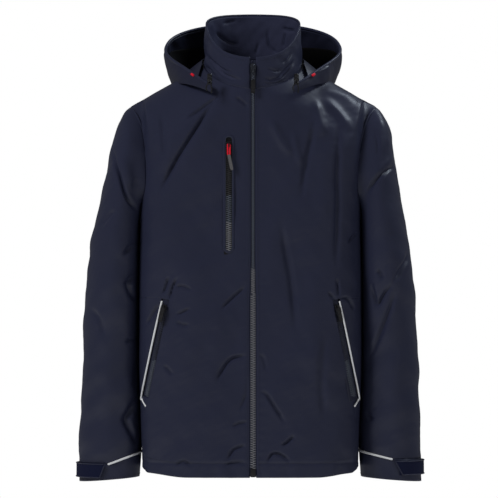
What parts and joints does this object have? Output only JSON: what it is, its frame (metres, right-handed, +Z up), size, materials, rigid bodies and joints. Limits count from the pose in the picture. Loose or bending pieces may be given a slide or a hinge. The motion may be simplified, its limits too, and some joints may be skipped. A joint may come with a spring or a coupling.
{
  "type": "foul weather jacket",
  "caption": "Navy waterproof sailing jacket with stand-up collar, hood hanging open behind, full front zip, zipped pockets and adjustable cuffs.",
  "frame": {"origin": "The middle of the neck opening, at the height of the neck seam, where the wearer's neck or a hanger holds the jacket up.", "axes": "+Z is up, -Y is the front, and +X is the wearer's left."},
  "size_m": [0.6266, 0.2871, 0.8403],
  "materials": {
    "navy_cloth": "matt coated nylon with a faint sheen",
    "black_cloth": "black mesh and taffeta lining",
    "deep_navy_patch": "hook-and-loop cloth",
    "zip_tape": "coated woven tape",
    "white_piping": "reflective piping",
    "grey_coil": "moulded zip coil",
    "black_plastic": "moulded plastic",
    "zip_metal": "dark plated zip slider",
    "red_cord": "red cord"
  },
  "bodies": {
    "jacket": {"front_panel_right": "navy_cloth", "front_panel_left": "navy_cloth", "side_panel_right": "navy_cloth", "side_panel_left": "navy_cloth", "back_panel": "navy_cloth", "back_lining": "black_cloth", "front_lining_right": "black_cloth", "front_lining_left": "black_cloth", "hem_facing": "navy_cloth", "hand_pocket_bag_right": "black_cloth", "hand_pocket_bag_left": "black_cloth", "chest_pocket_bag": "black_cloth", "collar_outer": "navy_cloth", "collar_lining": "navy_cloth", "hanger_loop": "black_cloth", "storm_flap": "navy_cloth", "main_zip_tape_right": "zip_tape", "main_zip_tape_left": "zip_tape", "main_zip_coil": "grey_coil", "main_zip_bottom_box": "black_plastic", "chest_zip_tape": "zip_tape", "chest_zip_coil": "grey_coil", "hand_zip_right_tape": "zip_tape", "hand_zip_right_coil": "grey_coil", "hand_pocket_piping_right": "white_piping", "hand_zip_left_tape": "zip_tape", "hand_zip_left_coil": "grey_coil", "hand_pocket_piping_left": "white_piping", "hood_neck_band": "navy_cloth"},
    "right_sleeve": {"sleeve_front_right": "navy_cloth", "sleeve_back_right": "navy_cloth", "cuff_right": "navy_cloth", "cuff_piping_right": "white_piping", "cuff_loop_patch_right": "deep_navy_patch"},
    "right_cuff_tab": {"cuff_tab_right": "deep_navy_patch"},
    "left_sleeve": {"sleeve_front_left": "navy_cloth", "sleeve_back_left": "navy_cloth", "cuff_left": "navy_cloth", "cuff_piping_left": "white_piping", "cuff_loop_patch_left": "deep_navy_patch"},
    "left_cuff_tab": {"cuff_tab_left": "deep_navy_patch"},
    "hood": {"hood_side_right": "navy_cloth", "hood_centre": "navy_cloth", "hood_side_left": "navy_cloth", "hood_lining": "black_cloth", "hood_drawcord": "red_cord", "hood_cord_lock_right": "black_plastic", "hood_cord_lock_left": "black_plastic"},
    "right_lock_button": {"hood_lock_button_right": "black_plastic"},
    "left_lock_button": {"hood_lock_button_left": "black_plastic"},
    "main_slider": {"main_zip_slider": "zip_metal"},
    "main_puller": {"main_zip_puller": "zip_metal", "main_zip_pull_tail": "black_plastic"},
    "chest_slider": {"chest_zip_slider": "zip_metal"},
    "chest_puller": {"chest_zip_puller": "red_cord", "chest_zip_pull_tail": "black_plastic"},
    "right_hand_slider": {"hand_zip_right_slider": "zip_metal"},
    "right_hand_puller": {"hand_zip_right_puller": "black_plastic"},
    "left_hand_slider": {"hand_zip_left_slider": "zip_metal"},
    "left_hand_puller": {"hand_zip_left_puller": "black_plastic"}
  },
  "joints": [
    {"name": "main_zip_slide", "type": "slide", "parent": "jacket", "child": "main_slider", "axis": [0, -0.0499, -0.9988], "range_m": [0, 0.69]},
    {"name": "main_puller_lift", "type": "hinge", "parent": "main_slider", "child": "main_puller", "pos_m": [0, -0.08941, 0.02585], "axis": [-1, 0, 0], "range_deg": [0, 150]},
    {"name": "chest_zip_slide", "type": "slide", "parent": "jacket", "child": "chest_slider", "axis": [0, -0.0499, -0.9988], "range_m": [0, 0.172]},
    {"name": "chest_puller_lift", "type": "hinge", "parent": "chest_slider", "child": "chest_puller", "pos_m": [-0.043, -0.0962, -0.10946], "axis": [-1, 0, 0], "range_deg": [0, 150]},
    {"name": "right_hand_zip_slide", "type": "slide", "parent": "jacket", "child": "right_hand_slider", "axis": [-0.2037, 0.1071, -0.9732], "range_m": [0, 0.153]},
    {"name": "right_hand_puller_lift", "type": "hinge", "parent": "right_hand_slider", "child": "right_hand_puller", "pos_m": [-0.15513, -0.09806, -0.39971], "axis": [-0.8355, 0.4991, 0.2298], "range_deg": [0, 140]},
    {"name": "left_hand_zip_slide", "type": "slide", "parent": "jacket", "child": "left_hand_slider", "axis": [0.2037, 0.1071, -0.9732], "range_m": [0, 0.153]},
    {"name": "left_hand_puller_lift", "type": "hinge", "parent": "left_hand_slider", "child": "left_hand_puller", "pos_m": [0.15513, -0.09806, -0.39971], "axis": [-0.8355, -0.4991, -0.2298], "range_deg": [0, 140]},
    {"name": "hood_raise", "type": "hinge", "parent": "jacket", "child": "hood", "pos_m": [0, -0.088, -0.012], "axis": [1, 0, 0], "range_deg": [0, 50]},
    {"name": "right_lock_press", "type": "slide", "parent": "hood", "child": "right_lock_button", "axis": [0, 0, -1], "range_m": [0, 0.0026], "stiffness_N_per_m": 200, "springref_m": -0.002},
    {"name": "left_lock_press", "type": "slide", "parent": "hood", "child": "left_lock_button", "axis": [0, 0, -1], "range_m": [0, 0.0026], "stiffness_N_per_m": 200, "springref_m": -0.002},
    {"name": "right_sleeve_raise", "type": "hinge", "parent": "jacket", "child": "right_sleeve", "pos_m": [-0.1985, 0, -0.024], "axis": [0, 1, 0], "range_deg": [0, 30]},
    {"name": "right_cuff_tab_open", "type": "hinge", "parent": "right_sleeve", "child": "right_cuff_tab", "pos_m": [-0.2894, 0.0502, -0.69], "axis": [0, 0, -1], "range_deg": [0, 90]},
    {"name": "left_sleeve_raise", "type": "hinge", "parent": "jacket", "child": "left_sleeve", "pos_m": [0.1985, 0, -0.024], "axis": [0, -1, 0], "range_deg": [0, 30]},
    {"name": "left_cuff_tab_open", "type": "hinge", "parent": "left_sleeve", "child": "left_cuff_tab", "pos_m": [0.2894, 0.0502, -0.69], "axis": [0, 0, 1], "range_deg": [0, 90]}
  ]
}
